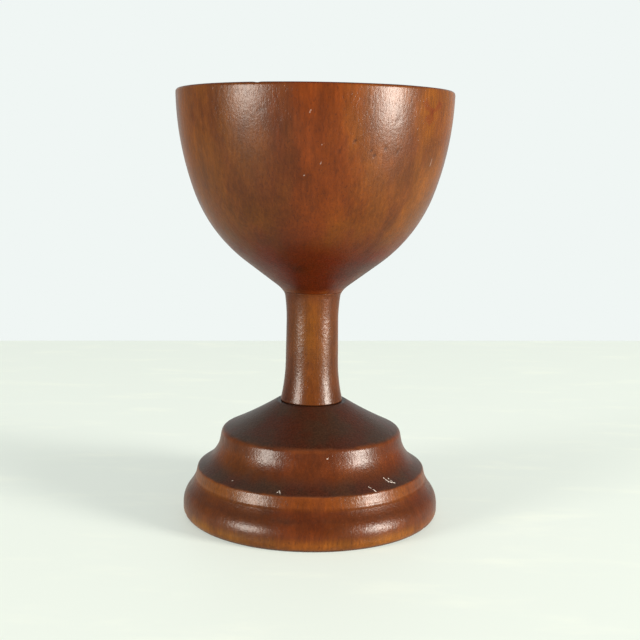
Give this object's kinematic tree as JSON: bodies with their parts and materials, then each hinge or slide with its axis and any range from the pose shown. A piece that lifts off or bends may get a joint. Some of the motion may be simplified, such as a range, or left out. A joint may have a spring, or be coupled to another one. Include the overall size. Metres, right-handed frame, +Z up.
{
  "type": "communion chalice",
  "caption": "Turned wooden chalice with a deep open bowl, a slim straight stem and a stepped round foot, glued and dowelled together.",
  "frame": {"origin": "centre of the foot, on the surface that the chalice stands on", "axes": "+Z up along the turning axis, from the foot to the lip; X and Y are equal, as the turned shape is round"},
  "size_m": [0.1016, 0.1016, 0.1584],
  "materials": {
    "stained_wood": "reddish-brown stain under satin lacquer",
    "dowel_wood": "bare, smooth",
    "wedge_wood": "bare, sanded flush"
  },
  "bodies": {
    "root": {"bowl": "stained_wood", "stem": "stained_wood", "base": "stained_wood", "upper_dowel": "dowel_wood", "lower_dowel": "dowel_wood", "wedge": "wedge_wood"}
  },
  "joints": []
}
